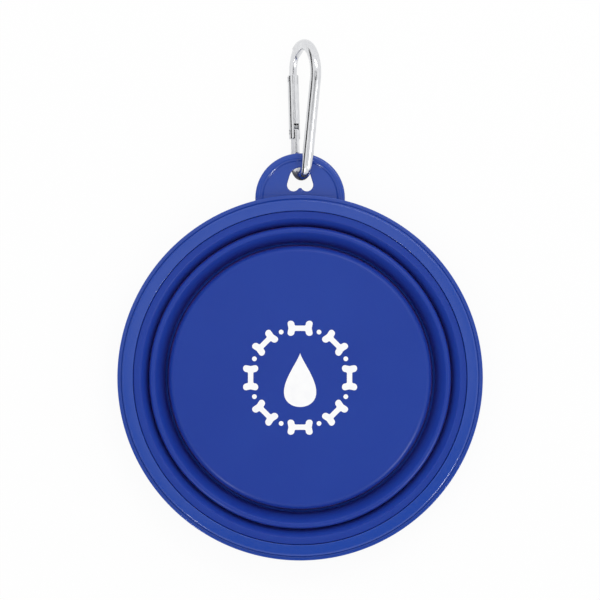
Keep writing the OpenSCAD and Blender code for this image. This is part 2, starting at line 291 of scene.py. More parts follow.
def card_paper(name, dark, light):
    """Matt paper with a fine speck."""
    material, tree, place = new_material(name)
    speck = add_node(tree, "ShaderNodeTexNoise", {"Vector": place, "Scale": per_mm(SPECK_MM)})
    tones = ((0, dark), (1, light))
    greys = add_node(tree, "ShaderNodeValToRGB", {"Fac": speck.outputs["Fac"]}, stops=tones)
    matt = add_node(tree, "ShaderNodeBsdfDiffuse", {"Color": greys.outputs["Color"]})
    add_node(tree, "ShaderNodeOutputMaterial", {"Surface": matt.outputs[0]})
    return material


def mirror_card(name, paper, place, width, length):
    """A card that only mirrors see: a grid with a side of one, scaled to size."""
    bm = bmesh.new()
    size = Matrix.Diagonal((width, length, 1, 1))
    bmesh.ops.create_grid(bm, x_segments=1, y_segments=1, size=1 / 2, matrix=place @ size)
    mesh = bpy.data.meshes.new(name)
    bm.to_mesh(mesh)
    bm.free()
    mesh.materials.append(paper)
    card = bpy.data.objects.new(name, mesh)
    bpy.context.collection.objects.link(card)
    card.visible_camera = card.visible_diffuse = card.visible_shadow = card.visible_transmission = False
    print("card:", name)


black_card = card_paper("black_card", "#181818", "#242424")
grey_card = card_paper("grey_card", "#6c6c6c", "#787878")
# Pale and dark paper for the two cards that paint shade into the clip loop's reflection.
pale_shade_card = card_paper("pale_shade_card", "#a4a4a4", "#b0b0b0")
dark_shade_card = card_paper("dark_shade_card", "#484848", "#545454")
flag_place = Matrix.Translation((FLAG_X, 0, FLAG_H / 2)) @ Matrix.Rotation(math.pi / 2, 4, "Y")
hole_card_place = Matrix.Translation(HOLE_CARD_AT) @ Matrix.Rotation(math.pi / 2, 4, "X")
mirror_card("flag", black_card, flag_place, FLAG_H, FLAG_L)
mirror_card("ceiling", grey_card, Matrix.Translation(CEILING_AT), CEILING_W, CEILING_L)
# The next two cards are painted shade that only mirrors see: the floor under the tab and the shade round
# the loop.
mirror_card("loop_card", pale_shade_card, Matrix.Translation(LOOP_CARD_AT), LOOP_CARD_W, LOOP_CARD_L)
mirror_card("hole_card", dark_shade_card, hole_card_place, HOLE_CARD_W, HOLE_CARD_H)

# %% [markdown]
# ## Silicone
# The tiers and the floor are one compression moulding of pigmented silicone rubber. The mould is blasted,
# so the skin is satin: light spreads in a soft sheen and no picture is mirrored. A little light sinks in,
# which warms the shade in the folds, and a trace of purple dust sheen tints the steep faces. Noise in the
# bump is the blasted grain, drawn coarser than the real 0.1 mm so that it shows at all, and a slow noise
# shifts the blue a little, as uneven pigment does.

# %% Material: moulded silicone
GRAIN_MM = 0.45
CLOUD_MM = 28
TOUCH_MM = 9
RELIEF_MM = 0.05

silicone, tree, place = new_material("satin_moulded_silicone")
cloud = add_node(tree, "ShaderNodeTexNoise", {"Vector": place, "Scale": per_mm(CLOUD_MM), "Detail": 3.0})
tones = ((0.3, "#1b3c9c"), (0.7, "#1d3f9f"))
blues = add_node(tree, "ShaderNodeValToRGB", {"Fac": cloud.outputs["Fac"]}, stops=tones)
touch = add_node(tree, "ShaderNodeTexNoise", {"Vector": place, "Scale": per_mm(TOUCH_MM), "Detail": 4.0})
rough = add_node(
    tree,
    "ShaderNodeMapRange",
    {"Value": touch.outputs["Fac"], "From Min": 0.3, "From Max": 0.7, "To Min": 0.28, "To Max": 0.36},
)
grain = add_node(tree, "ShaderNodeTexNoise", {"Vector": place, "Scale": per_mm(GRAIN_MM), "Detail": 2.0})
bump = add_node(
    tree, "ShaderNodeBump", {"Height": grain.outputs["Fac"], "Strength": 0.12, "Distance": RELIEF_MM * MM}
)
skin = add_node(
    tree,
    "ShaderNodeBsdfPrincipled",
    {
        "Base Color": blues.outputs["Color"],
        "Roughness": rough.outputs["Result"],
        "Normal": bump.outputs["Normal"],
        "IOR": 1.41,
        "Specular IOR Level": 0.3,
        "Sheen Weight": 0.08,
        "Sheen Roughness": 0.4,
        "Sheen Tint": linear("#e4609a"),
        "Subsurface Weight": 0.4,
        "Subsurface Radius": (1.0, 0.35, 0.5),
        "Subsurface Scale": 2.0 * MM,
    },
)
add_node(tree, "ShaderNodeOutputMaterial", {"Surface": skin.outputs[0]})
print("material:", silicone.name)

# %% [markdown]
# ## Rim plastic
# The rim and its tab are injection-moulded polypropylene in the same blue. The mould is polished, so the
# rim is glossier than the silicone and its edges carry thin bright lines. Fine scuffs from handling break
# up the gloss.

# %% Material: moulded polypropylene
SCUFF_MM = 1.2

polypropylene, tree, place = new_material("polished_moulded_polypropylene")
cloud = add_node(tree, "ShaderNodeTexNoise", {"Vector": place, "Scale": per_mm(CLOUD_MM), "Detail": 2.0})
tones = ((0.3, "#1a42a1"), (0.7, "#1c44a4"))
blues = add_node(tree, "ShaderNodeValToRGB", {"Fac": cloud.outputs["Fac"]}, stops=tones)
scuff = add_node(tree, "ShaderNodeTexNoise", {"Vector": place, "Scale": per_mm(SCUFF_MM), "Detail": 6.0})
rough = add_node(
    tree,
    "ShaderNodeMapRange",
    {"Value": scuff.outputs["Fac"], "From Min": 0.35, "From Max": 0.7, "To Min": 0.12, "To Max": 0.2},
)
bump = add_node(
    tree, "ShaderNodeBump", {"Height": scuff.outputs["Fac"], "Strength": 0.006, "Distance": RELIEF_MM * MM}
)
shell = add_node(
    tree,
    "ShaderNodeBsdfPrincipled",
    {
        "Base Color": blues.outputs["Color"],
        "Roughness": rough.outputs["Result"],
        "Normal": bump.outputs["Normal"],
        "IOR": 1.49,
    },
)
add_node(tree, "ShaderNodeOutputMaterial", {"Surface": shell.outputs[0]})
print("material:", polypropylene.name)

# %% [markdown]
# ## Turned and flat shapes
# Each tier is a ring, so its outline is drawn once as a flat face and spun round the axis. Before the
# spin, the corners are rounded by a vertex bevel, which is the simplest way to give every corner its own
# radius. Moulds are cut with a few standard cutters, so most corners have one of the radii named here,
# from sharp to soft. Flat shapes start from the same kind of face and are extruded. All outlines are in
# millimetres.

# %% Functions for turned and flat shapes
TURN_STEPS = 256
ROUND_SEGMENTS = 5
SHOULDER_STEP = 6
SLACK = 1.55
TINY = 1e-3
HAIR_R = 0.1
FINE_R = 0.15
EDGE_R = 0.2
EASED_R = 0.3
SOFT_R = 0.4
FULL_R = 0.5
FOOT_R = 0.6


def add_outline(bm, corners, upright):
    """Adds a face through corners of (across, up, rounding), upright in XZ or lying in XY."""
    points = [bm.verts.new((x, 0, y) if upright else (x, y, 0)) for x, y, _ in corners]
    bm.faces.new(points)
    for rounding in sorted({c[2] for c in corners} - {0}):
        bmesh.ops.bevel(
            bm,
            geom=[v for v, c in zip(points, corners) if c[2] == rounding],
            offset=rounding,
            offset_type="OFFSET",
            segments=ROUND_SEGMENTS,
            profile=0.5,
            affect="VERTICES",
            material=-1,
        )


def turned(corners, cuts=0, angle=360, steps=TURN_STEPS):
    """A shape spun about Z from an outline of (radius, height, rounding). Its long edges get cuts."""
    bm = bmesh.new()
    add_outline(bm, corners, upright=True)
    bmesh.ops.delete(bm, geom=bm.faces[:], context="FACES_ONLY")
    on_axis = [e for e in bm.edges if all(v.co.x < TINY for v in e.verts)]
    bmesh.ops.delete(bm, geom=on_axis, context="EDGES")
    if cuts:
        longest = max(e.calc_length() for e in bm.edges)
        long_edges = [e for e in bm.edges if e.calc_length() > longest / 2]
        bmesh.ops.subdivide_edges(bm, edges=long_edges, cuts=cuts)
    bmesh.ops.spin(
        bm,
        geom=bm.verts[:] + bm.edges[:],
        cent=(0, 0, 0),
        axis=(0, 0, 1),
        angle=math.radians(angle),
        steps=steps,
        use_merge=angle == 360,
    )
    bmesh.ops.remove_doubles(bm, verts=bm.verts[:], dist=TINY)
    bmesh.ops.recalc_face_normals(bm, faces=bm.faces[:])
    return bm


def slab(corners, low_z, high_z):
    """A plate extruded between two heights from an outline of (x, y, rounding)."""
    bm = bmesh.new()
    add_outline(bm, corners, upright=False)
    bmesh.ops.translate(bm, vec=(0, 0, low_z), verts=bm.verts[:])
    raised = bmesh.ops.extrude_face_region(bm, geom=bm.faces[:], use_keep_orig=True)["geom"]
    top = [v for v in raised if isinstance(v, bmesh.types.BMVert)]
    bmesh.ops.translate(bm, vec=(0, 0, high_z - low_z), verts=top)
    bmesh.ops.recalc_face_normals(bm, faces=bm.faces[:])
    return bm


def shoulder(top_r, base_z, run, rise):
    """Outline points on a quarter of a slack ellipse, from the end of a steep face up to a tier's top."""
    turns = [math.radians(a) for a in range(0, 91, SHOULDER_STEP)]
    shares = [(max(math.cos(a), 0) ** SLACK, math.sin(a) ** SLACK) for a in turns]
    return [(top_r - run * across, base_z + rise * up, 0) for across, up in shares]


print("steps in a full turn:", TURN_STEPS)

# %% [markdown]
# ## Cutting and placing
# Slots and holes are cut with Blender's exact Boolean, whose result is read back into a bmesh. A finished
# shape is scaled to metres and put in its place inside its mesh, so that its object stays at the origin.
# Edges that turn by more than a set angle stay crisp, and weighted normals keep flat faces flat beside
# their rounded edges.

# %% Functions for cutting and placing
CRISP_DEG = 38


def combined(bm, other, operation="DIFFERENCE"):
    """The first shape with the second cut out of it, joined to it or kept in common."""
    shapes = []
    for part in (bm, other):
        mesh = bpy.data.meshes.new("shape")
        part.to_mesh(mesh)
        part.free()
        shapes.append(bpy.data.objects.new("shape", mesh))
        bpy.context.collection.objects.link(shapes[-1])
    cut = shapes[0].modifiers.new("cut", "BOOLEAN")
    cut.solver = "EXACT"
    cut.operation = operation
    cut.object = shapes[1]
    result = bmesh.new()
    result.from_object(shapes[0], bpy.context.evaluated_depsgraph_get())
    for shape in shapes:
        bpy.data.meshes.remove(shape.data)
    bmesh.ops.remove_doubles(result, verts=result.verts[:], dist=TINY)
    return result


def make_piece(name, bm, material, body, nodes, place=Matrix.Identity(4)):
    """A smooth object from a bmesh in millimetres, on a body, in the place of CAD nodes."""
    bmesh.ops.transform(bm, matrix=place @ Matrix.Scale(MM, 4), verts=bm.verts[:])
    for face in bm.faces:
        face.smooth = True
    mesh = bpy.data.meshes.new(name)
    bm.to_mesh(mesh)
    bm.free()
    mesh.set_sharp_from_angle(angle=math.radians(CRISP_DEG))
    mesh.materials.append(material)
    piece = bpy.data.objects.new(name, mesh)
    bpy.context.collection.objects.link(piece)
    weighted = piece.modifiers.new("flat_faces_stay_flat", "WEIGHTED_NORMAL")
    weighted.keep_sharp = True
    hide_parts(*nodes)
    if body:
        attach(piece, body)
    print(name, len(mesh.polygons), "faces")
    return piece


print("edges stay crisp from", CRISP_DEG, "degrees")

# %% [markdown]
# ## Floor and foot
# The floor is a disc on a foot ring. Its upper edge rolls over into the lower fold, so the disc reaches
# out over the top of that thin web and hides where it starts.

# %% Make the floor and foot
FLOOR_T = 2.4
FOOT_INSET = 1.6
FOOT_W = 3.0
ROLL = 2.2

floor_z = floor_high.z
under_z = floor_z - FLOOR_T
foot_r = floor_r - FOOT_INSET
make_piece(
    "bowl_floor",
    turned([
        (0, floor_z, 0),
        (floor_r + FOLD_T, floor_z, ROLL),
        (floor_r + FOLD_T, floor_z - ROLL, 0),
        (floor_r, floor_z - ROLL, 0),
        (floor_r, under_z, FINE_R),
        (foot_r, under_z, SOFT_R),
        (foot_r, floor_low.z, FOOT_R),
        (foot_r - FOOT_W, floor_low.z, FOOT_R),
        (foot_r - FOOT_W, under_z, SOFT_R),
        (0, under_z, 0),
    ]),
    silicone,
    "base",
    ["base_floor"],
)

# %% [markdown]
# ## Middle ring
# The middle tier stands as a steep wall that rounds over to a crest. Its crest rolls over the upper fold,
# and its low edge turns in under the lower fold as a small hem.

# %% Make the middle ring
RING_T = 2.2
RING_STEEP_H = 2.5
RING_STEEP_RUN = 0.6
RING_GROOVE_W = 0.3
CREST_W = 1.0
CREST_H = 1.4
CREST_ROUND = 1.3
CREST_TUCK = 0.2
HEM_H = 0.8
HEM_RISE = 0.2
WEB_CLEAR = 0.08


def hem(inner_r, low, high, top_z, top_w):
    """Outline points of a tier's foot, which holds a fold's end and follows it up to a groove's bottom."""
    foot_z = low.z + HEM_H
    web_r = [high.x - LEAN * (z - low.z) / (high.z - low.z) + WEB_CLEAR for z in (foot_z, top_z)]
    return [
        (inner_r - FOLD_T, low.z, EASED_R),
        (inner_r - FOLD_T, foot_z, EDGE_R),
        (web_r[0], foot_z + HEM_RISE, HAIR_R),
        (web_r[1], top_z, FINE_R),
        (web_r[1] + top_w, top_z, FINE_R),
    ]


steep_z = ring_low.z + RING_STEEP_H
crest_r = ring_r - CREST_W
run = crest_r - ring_low_r - RING_STEEP_RUN
rise = ring_high.z - steep_z
make_piece(
    "middle_tier",
    turned([
        *hem(ring_low_r, lower_low, lower_high, steep_z, RING_GROOVE_W),
        *shoulder(crest_r, steep_z, run, rise)[1:],
        (ring_r + FOLD_T, ring_high.z, CREST_ROUND),
        (ring_r + FOLD_T, ring_high.z - CREST_H, EDGE_R),
        (ring_r, ring_high.z - CREST_H - CREST_TUCK, 0),
        (ring_r, ring_high.z - RING_T, EASED_R),
        *reversed(shoulder(crest_r, steep_z, run - RING_T, rise - RING_T)),
        (ring_low_r + RING_T, ring_low.z, FULL_R),
    ]),
    silicone,
    "middle",
    ["middle_ring"],
)

# %% [markdown]
# ## Upper wall
# The widest tier is moulded onto the rim. It has the same steep face, rounds over to a flat top, and a
# tongue on its outside keys it into the rim's groove.

# %% Make the upper wall
WALL_T = 2.1
WALL_STEEP_H = 6.4
WALL_OVERHANG = 0.35
WALL_FLAT_W = 2.3
WALL_GROOVE_W = 0.1
SEAM_ROUND = 0.35
TONGUE_LOW = 7.0
TONGUE_HIGH = 9.0

steep_z = wall_low.z + WALL_STEEP_H
top_r = seam_r - WALL_FLAT_W
tongue_r = wall_high.x
make_piece(
    "upper_tier",
    turned([
        *hem(wall_r, upper_low, upper_high, steep_z, WALL_GROOVE_W),
        *shoulder(top_r, steep_z, top_r - wall_r + WALL_OVERHANG, wall_high.z - steep_z)[1:],
        (seam_r, wall_high.z, SEAM_ROUND),
        (seam_r, TONGUE_HIGH, 0),
        (tongue_r, TONGUE_HIGH, EDGE_R),
        (tongue_r, TONGUE_LOW, EDGE_R),
        (seam_r, TONGUE_LOW, 0),
        (seam_r, rim_low.z, SOFT_R),
        (wall_r + WALL_T, wall_low.z, FULL_R),
    ]),
    silicone,
    "rim",
    ["upper_wall"],
)

# %% [markdown]
# ## Folds
# A thin web joins each tier to the next. Folded flat, it hangs down beside the inner tier; pulled out, it
# flips over and rises to the outer one. Here each web is made in its folded shape and rides on no body.
# Cuts along the web split it into many short rings.

# %% Make the two folds
WEB_CUTS = 23
WEB_START = 1.0
WEB_INSET = 0.05


def make_fold(name, inner_r, low, high, node):
    """A thin web from an inner tier's side down to the low edge of the tier outside it."""
    low_r = high.x
    top_z = high.z - WEB_START
    fold = make_piece(
        name,
        turned([
            (inner_r + WEB_INSET, top_z, EDGE_R),
            (inner_r + FOLD_T, top_z, EDGE_R),
            (low_r, low.z, EDGE_R),
            (low_r - FOLD_T + WEB_INSET, low.z, EDGE_R),
        ], WEB_CUTS),
        silicone,
        None,
        [node],
    )
    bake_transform(fold)


make_fold("lower_web", floor_r, lower_low, lower_high, "lower_fold")
make_fold("upper_web", ring_r, upper_low, upper_high, "upper_fold")

# %% [markdown]
# ## Rim
# The stiff rim has a flat raised band with a ledge outside it. The band's outer edge is well rounded and
# catches the light, and a shallow groove runs along its foot. Its inner edge drops straight to the seam
# with the silicone. Underneath, a channel saves material.

# %% Make the rim
RIM_WALL = 1.9
BAND_DRAFT = 0.1
BAND_ROUND = 0.7
BAND_EDGE_R = 0.25
GROOVE_H = 0.2
GROOVE_FROM = 0.05
GROOVE_TO = 0.45

rim_z = rim_high.z
channel_z = ledge_z - RIM_WALL
make_piece(
    "rim_moulding",
    turned([
        (seam_r, rim_low.z, EASED_R),
        (seam_r, TONGUE_LOW, 0),
        (tongue_r, TONGUE_LOW, EDGE_R),
        (tongue_r, TONGUE_HIGH, EDGE_R),
        (seam_r, TONGUE_HIGH, 0),
        (seam_r + BAND_DRAFT, rim_z, BAND_EDGE_R),
        (band_r, rim_z, BAND_ROUND),
        (band_r + GROOVE_FROM, ledge_z - GROOVE_H, HAIR_R),
        (band_r + GROOVE_TO, ledge_z, BAND_EDGE_R),
        (bowl_r, ledge_z, EASED_R),
        (bowl_r, rim_low.z, SOFT_R),
        (bowl_r - RIM_WALL, rim_low.z, EASED_R),
        (bowl_r - RIM_WALL, channel_z, SOFT_R),
        (seam_r + RIM_WALL, channel_z, SOFT_R),
        (seam_r + RIM_WALL, rim_low.z, EASED_R),
    ]),
    polypropylene,
    "rim",
    ["rim_ring"],
)

# %% [markdown]
# ## Hang tab
# The tab is a half disc that grows out of the rim's side, with a raised lip round it and a hole for the
# clip. It is half a turned shape; its open side is extruded into the rim's wall and trimmed there. The
# hole is cut by a stem whose ends flare out, which leaves the hole's edges rounded, as a moulding's are.

# %% Shape the tab
LIP_T = 2.5
LIP_W = 2.6
LIP_SLOPE = 0.3
LIP_OUTER_ROUND = 0.9
LIP_INNER_ROUND = 0.8
FIELD_T = 1.8
TAB_SET_IN = 1.0
TAB_STEPS = 96

joints = {j["name"]: j for j in frame["joints"]}
swing_at = Vector(joints["clip_swing"]["pos_m"]) / MM
tab_y = bowl_r - TAB_SET_IN
tab_r = rim_high.y - tab_y
tab_z = swing_at.z - LIP_T / 2
lip_inner_r = tab_r - LIP_W
tab = turned([
    (0, tab_z, 0),
    (tab_r, tab_z, FOOT_R),
    (tab_r, tab_z + LIP_T, LIP_OUTER_ROUND),
    (lip_inner_r + LIP_SLOPE, tab_z + LIP_T, LIP_INNER_ROUND),
    (lip_inner_r - LIP_SLOPE, tab_z + FIELD_T, EDGE_R),
    (0, tab_z + FIELD_T, 0),
], angle=180, steps=TAB_STEPS)
open_side = [e for e in tab.edges if e.is_boundary]
neck = bmesh.ops.extrude_edge_only(tab, edges=open_side)["geom"]
neck_end = [v for v in neck if isinstance(v, bmesh.types.BMVert)]
bmesh.ops.translate(tab, vec=(0, -TAB_SET_IN - LIP_W, 0), verts=neck_end)
bmesh.ops.holes_fill(tab, edges=[e for e in tab.edges if e.is_boundary])
bmesh.ops.translate(tab, vec=(0, tab_y, 0), verts=tab.verts[:])
bmesh.ops.recalc_face_normals(tab, faces=tab.faces[:])
print("tab radius, mm:", round(tab_r, 1))

# %% Draw the hole
STRIP_W = 5.1
HOLE_R = 3.9
LOBE_R = 2.25
LOBE_X = 2.4
LOBE_DROP = 6.2
CUSP_DROP = 1.1


def arc(centre, radius, first, last, step=8):
    """Outline points on an arc between two angles in degrees."""
    count = math.ceil(abs(last - first) / step)
    angles = [math.radians(first + (last - first) * i / count) for i in range(count + 1)]
    return [(centre[0] + radius * math.cos(a), centre[1] + radius * math.sin(a), 0) for a in angles]


hole_y = rim_high.y - STRIP_W - HOLE_R
lobe_y = rim_high.y - STRIP_W - LOBE_DROP
down = Vector((LOBE_X, lobe_y - hole_y))
side_deg = math.degrees(math.atan2(down.y, down.x) + math.acos((HOLE_R - LOBE_R) / down.length))
cusp_deg = 180 + math.degrees(math.asin(CUSP_DROP / LOBE_R))
hole = [
    *arc((0, hole_y), HOLE_R, side_deg, 180 - side_deg),
    *arc((-LOBE_X, lobe_y), LOBE_R, 180 - side_deg, 540 - cusp_deg),
    *arc((LOBE_X, lobe_y), LOBE_R, cusp_deg, 360 + side_deg),
]
print("points round the hole:", len(hole))

# %% Cut the hole and trim the tab
HOLE_EDGE = 0.35
HOLE_MID_RISE = 1.2
FLARE_DEG = (90, 68, 45, 22, 0)
CUT_SPARE = 1


def drawn_on(bm, loop, vector):
    """Extrudes a loop of edges and moves the new loop on. Gives the new loop and its points."""
    made = bmesh.ops.extrude_edge_only(bm, edges=loop)["geom"]
    points = [g for g in made if isinstance(g, bmesh.types.BMVert)]
    bmesh.ops.translate(bm, vec=vector, verts=points)
    return [g for g in made if isinstance(g, bmesh.types.BMEdge) and g.is_boundary], points


def flared(outline, centre, low_z, high_z, flare, reach):
    """A cutter that widens towards both faces, so that the hole's edges come out rounded."""
    turns = [math.radians(a) for a in FLARE_DEG]
    levels = [(low_z + flare * (1 - math.sin(t)), flare * (1 - math.cos(t))) for t in turns]
    levels = [(low_z - CUT_SPARE, flare)] + levels
    levels += [(low_z + high_z - z, wider) for z, wider in reversed(levels)]
    bm = bmesh.new()
    add_outline(bm, outline, upright=False)
    bmesh.ops.delete(bm, geom=bm.faces[:], context="FACES_ONLY")
    middle = Matrix.Translation((-centre[0], -centre[1], 0))
    loop, points = bm.edges[:], bm.verts[:]
    size, height = 1, 0
    for z, wider in levels:
        if height:
            loop, points = drawn_on(bm, loop, (0, 0, 0))
        grow = (1 + wider / reach) / size
        bmesh.ops.scale(bm, vec=(grow, grow, 1), space=middle, verts=points)
        bmesh.ops.translate(bm, vec=(0, 0, z - height), verts=points)
        size, height = 1 + wider / reach, z
    bmesh.ops.holes_fill(bm, edges=[e for e in bm.edges if e.is_boundary])
    bmesh.ops.recalc_face_normals(bm, faces=bm.faces[:])
    return bm


hole_centre = (0, lobe_y + HOLE_MID_RISE)
tab = combined(tab, flared(hole, hole_centre, tab_z, tab_z + FIELD_T, HOLE_EDGE, LOBE_X + LOBE_R))
in_rim = turned([
    (0, tab_z - CUT_SPARE, 0),
    (bowl_r - TAB_SET_IN, tab_z - CUT_SPARE, 0),
    (bowl_r - TAB_SET_IN, tab_z + LIP_T + CUT_SPARE, 0),
    (0, tab_z + LIP_T + CUT_SPARE, 0),
])
tab = combined(tab, in_rim)
make_piece("hang_tab", tab, polypropylene, "rim", ["rim_ring"])

# %% [markdown]
# ## Print on the floor
# Bowls like this carry a one-colour screen print. A plain design stands here: eight small bones and eight
# dots in a ring round a water drop. Screen ink is a film a few hundredths of a millimetre thick, matt and
# opaque, with slightly uneven cover. Each motif is a thin plate, so the print keeps a real edge at any
# distance.

# %% Material: screen-print ink
INK_CLOUD_MM = 3

ink, tree, place = new_material("white_screen_print_ink")
cover = add_node(
    tree, "ShaderNodeTexNoise", {"Vector": place, "Scale": per_mm(INK_CLOUD_MM), "Detail": 4.0}
)
tones = ((0.3, "#f6f6f8"), (0.7, "#fbfbfb"))
whites = add_node(tree, "ShaderNodeValToRGB", {"Fac": cover.outputs["Fac"]}, stops=tones)
rough = add_node(tree, "ShaderNodeMapRange", {"Value": cover.outputs["Fac"], "To Min": 0.5, "To Max": 0.65})
film = add_node(
    tree,
    "ShaderNodeBsdfPrincipled",
    {"Base Color": whites.outputs["Color"], "Roughness": rough.outputs["Result"], "IOR": 1.5},
)
add_node(tree, "ShaderNodeOutputMaterial", {"Surface": film.outputs[0]})
print("material:", ink.name)

# %% Draw the motifs
BONE_L = 9.4
BONE_KNOB = 1.35
KNOB_ROUND = 0.98
BONE_SHAFT = 0.95
BONE_DIP = 0.55
DOT_R = 0.85
DOT_STEP_DEG = 15
DROP_W = 6.4
DROP_H = 9.6
DROP_BELLY = 1.3
DROP_POINT = 1.6
DROP_SINK = 0.8
DROP_STEP_DEG = 5

knob_x = BONE_L / 2 - 2 * BONE_KNOB
bone_end = [
    (knob_x, BONE_SHAFT, FULL_R),
    (knob_x, 2 * BONE_KNOB, BONE_KNOB * KNOB_ROUND),
    (BONE_L / 2, 2 * BONE_KNOB, BONE_KNOB * KNOB_ROUND),
    (BONE_L / 2 - BONE_DIP, 0, HAIR_R),
]
lower_end = [(x, -y, rounding) for x, y, rounding in bone_end[2::-1]]
right_end = bone_end + lower_end
bone = right_end + [(-x, -y, rounding) for x, y, rounding in right_end]

dot = arc((0, 0), DOT_R, 0, 360 - DOT_STEP_DEG, DOT_STEP_DEG)
drop_angles = [math.radians(a) for a in range(0, 360, DROP_STEP_DEG)]
drop = [
    (DROP_W * DROP_BELLY * math.sin(a) * math.sin(a / 2) ** DROP_POINT, DROP_H * math.cos(a) - DROP_SINK, 0)
    for a in drop_angles
]
print("outline points of bone, dot and drop:", len(bone), len(dot), len(drop))

# %% Make the print
PRINT_R = 17.6
MOTIF_COUNT = 8
INK_T = 0.05
INK_ROOT = 0.02

ink_low = floor_z - INK_ROOT
ink_high = floor_z + INK_T
print_bm = slab(drop, ink_low, ink_high)
for i in range(MOTIF_COUNT):
    for outline, share in ((bone, i), (dot, i + 1 / 2)):
        motif = slab(outline, ink_low, ink_high)
        turn = Matrix.Rotation(2 * math.pi * share / MOTIF_COUNT, 4, "Z")
        motif_mesh = bpy.data.meshes.new("motif")
        bmesh.ops.transform(motif, matrix=turn @ Matrix.Translation((0, PRINT_R, 0)), verts=motif.verts[:])
        motif.to_mesh(motif_mesh)
        motif.free()
        print_bm.from_mesh(motif_mesh)
        bpy.data.meshes.remove(motif_mesh)
make_piece("floor_print", print_bm, ink, "base", [])

# %% [markdown]
# ## Metals
# The clip is bent from drawn aluminium rod and tumbled bright, so it mirrors the white room with a few
# soft streaks along the rod. Its pins and plunger are nickel-plated steel wire, a little greyer. The
# spring is blackened wire, and its near-black colour is also painted shade for the end of the gate's
# slot. The streaks follow the clip's own axes: a Mapping node turns the pattern into the clip's plane.

# %% The clip's plane
ROD_R = 1.95
CLIP_L = 50.4
NARROW_R = 5.2
WIDE_R = 10.0
HINGE_AT = 10.4

centre_gap = CLIP_L - 2 * ROD_R - NARROW_R - WIDE_R
taper = math.asin((WIDE_R - NARROW_R) / centre_gap)
limb_l = centre_gap * math.cos(taper)
normal = -Vector(joints["clip_swing"]["axis"]).normalized()
to_hinge = (Vector(joints["gate_hinge"]["pos_m"]) - Vector(joints["clip_swing"]["pos_m"])).normalized()
beside = normal.cross(to_hinge)
hinge_angle = math.atan2(HINGE_AT, -NARROW_R) + taper
across = math.cos(hinge_angle) * to_hinge - math.sin(hinge_angle) * beside
along = math.sin(hinge_angle) * to_hinge + math.cos(hinge_angle) * beside
clip_turn = Matrix((across, along, normal)).transposed().to_4x4()
clip_place = Matrix.Translation(swing_at * MM) @ clip_turn
limb_turn = Matrix.Rotation(taper, 4, "Z")
gate_place = clip_place @ limb_turn @ Matrix.Translation((-NARROW_R * MM, 0, 0))
print("clip runs along", [round(c, 3) for c in along])

# %% Materials: tumbled aluminium, plated steel and blackened wire
SCRATCH_MM = 0.03
ROD_STREAK_MM = (0.35, 7, 0.35)
WIRE_STREAK_MM = (0.2, 0.8, 0.2)


def metal(name, dark, light, rough_range, streak_mm):
    """A metal with fine streaks along the clip's rod."""
    material, tree, place = new_material(name)
    turn = add_node(
        tree,
        "ShaderNodeMapping",
        {"Vector": place, "Rotation": clip_turn.to_euler(), "Scale": Vector(streak_mm) * MM},
        vector_type="TEXTURE",
    )
    streaks = add_node(tree, "ShaderNodeTexNoise", {"Vector": turn.outputs[0], "Scale": 1.0, "Detail": 3.0})
    tones = ((0.35, dark), (0.65, light))
    greys = add_node(tree, "ShaderNodeValToRGB", {"Fac": streaks.outputs["Fac"]}, stops=tones)
    low, high = rough_range
    rough = add_node(
        tree, "ShaderNodeMapRange", {"Value": streaks.outputs["Fac"], "To Min": low, "To Max": high}
    )
    bump = add_node(
        tree,
        "ShaderNodeBump",
        {"Height": streaks.outputs["Fac"], "Strength": 0.15, "Distance": SCRATCH_MM * MM},
    )
    shine = add_node(
        tree,
        "ShaderNodeBsdfPrincipled",
        {
            "Base Color": greys.outputs["Color"],
            "Metallic": 1.0,
            "Roughness": rough.outputs["Result"],
            "Normal": bump.outputs["Normal"],
        },
    )
    add_node(tree, "ShaderNodeOutputMaterial", {"Surface": shine.outputs[0]})
    print("material:", name)
    return material


aluminium = metal("tumbled_drawn_aluminium", "#d2d3d6", "#e6e7e9", (0.12, 0.24), ROD_STREAK_MM)
steel = metal("nickel_plated_steel_wire", "#b2b4b8", "#cbcdd0", (0.2, 0.32), WIRE_STREAK_MM)
# The spring's near-black colour is partly painted shade for the end of the gate's slot.
music_wire = metal("blackened_wire_painted_slot_shade", "#1b1b1d", "#2b2b2e", (0.3, 0.45), WIRE_STREAK_MM)

# %% [markdown]
# ## Clip frame
# The frame is one rod: a circle is extruded along the straight stretches and spun round the bends. Both
# of its ends are pressed flat, so the last rings there are clamped between two planes that close in. One
# end is the tang, which carries the hinge pin: its end is round, and a step on its inner side makes it
# wider below the pin. The other end is the nose, whose hooked notch catches the gate's latch pin.

# %% Bend the rod
ROD_SIDES = 64
BEND_STEPS = 60
TANG_END_W = 4.8
TANG_L = 8.2
TANG_PRESS_L = 2.4
TANG_STEPS = 12

limb_start = limb_turn @ Matrix.Translation((-NARROW_R, 0, 0))
wide_centre = Vector((0, centre_gap, 0))

rod = bmesh.new()
axis_along_y = Matrix.Rotation(math.pi / 2, 4, "X")
tang_top = limb_start @ Matrix.Translation((0, HINGE_AT + TANG_END_W / 2, 0)) @ axis_along_y
bmesh.ops.create_circle(rod, cap_ends=False, radius=ROD_R, segments=ROD_SIDES, matrix=tang_top)


def bend(bm, loop, centre, degrees, steps, lift=0):
    """Spins an end loop round a bend, or round a screw path that climbs by a lift at each step."""
    made = bmesh.ops.spin(
        bm,
        geom=loop + list({v for e in loop for v in e.verts}),
        cent=centre,
        axis=(0, 0, 1),
        dvec=(0, 0, lift),
        angle=math.radians(degrees),
        steps=steps,
        use_merge=False,
    )["geom_last"]
    return [g for g in made if isinstance(g, bmesh.types.BMEdge)]


